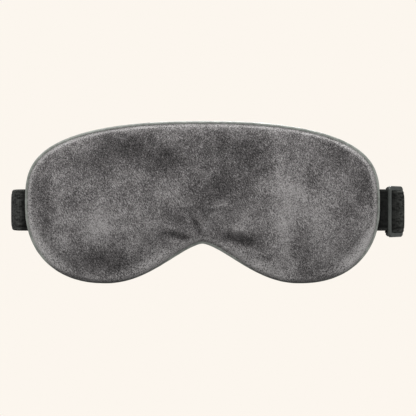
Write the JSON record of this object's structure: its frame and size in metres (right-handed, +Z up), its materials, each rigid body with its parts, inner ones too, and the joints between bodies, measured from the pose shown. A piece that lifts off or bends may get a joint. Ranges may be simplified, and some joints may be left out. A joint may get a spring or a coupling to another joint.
{
  "type": "sleep eye mask",
  "caption": "Padded plush sleep mask with a nose notch, piped edge and a flat elastic head strap with a three-bar slider.",
  "frame": {"origin": "on the flat of the skin side, on the centre line, level with the middle of the elastic", "axes": "+X to the side with the slider, +Y from the plush front through the skin side to the back of the head, +Z up as worn"},
  "size_m": [0.2403, 0.1165, 0.0974],
  "materials": {
    "plush": "short-pile plush, brushed in patches, warm grey",
    "satin": "smooth satin weave, soft sheen, dark grey",
    "batting": "loose white polyester fibre",
    "blackout": "dense black lining",
    "foam": "thin soft foam, matt",
    "piping": "satin bias strip, soft sheen, mid grey",
    "thread": "twisted polyester thread, dark grey",
    "elastic": "plush-faced knitted elastic, near black",
    "slider_plastic": "moulded nylon, semi-matt, dark grey"
  },
  "bodies": {
    "mask": {"front_cover": "plush", "front_padding": "batting", "blackout_layer": "blackout", "back_padding": "foam", "back_cover": "satin", "piping_cord": "batting", "piping_cover": "piping", "seam_thread": "thread", "strap_end_left": "elastic", "strap_end_right": "elastic"},
    "strap": {"strap_left": "elastic", "strap_right": "elastic", "short_strap": "elastic", "hem_thread": "thread"},
    "strap_rear": {"strap_rear": "elastic"},
    "slider": {"slider": "slider_plastic", "strap_loop": "elastic", "loop_thread": "thread"}
  },
  "joints": [
    {"name": "strap_swing", "type": "hinge", "parent": "mask", "child": "strap", "pos_m": [0, -0.003, 0], "axis": [1, 0, 0], "range_deg": [-40, 40]},
    {"name": "strap_stretch", "type": "slide", "parent": "strap", "child": "strap_rear", "axis": [0, 1, 0], "range_m": [0, 0.03], "stiffness_N_per_m": 60},
    {"name": "slider_travel", "type": "hinge", "parent": "strap", "child": "slider", "pos_m": [0.06903, 0.0245, 0], "axis": [0, 0, 1], "range_deg": [0, 30]}
  ]
}
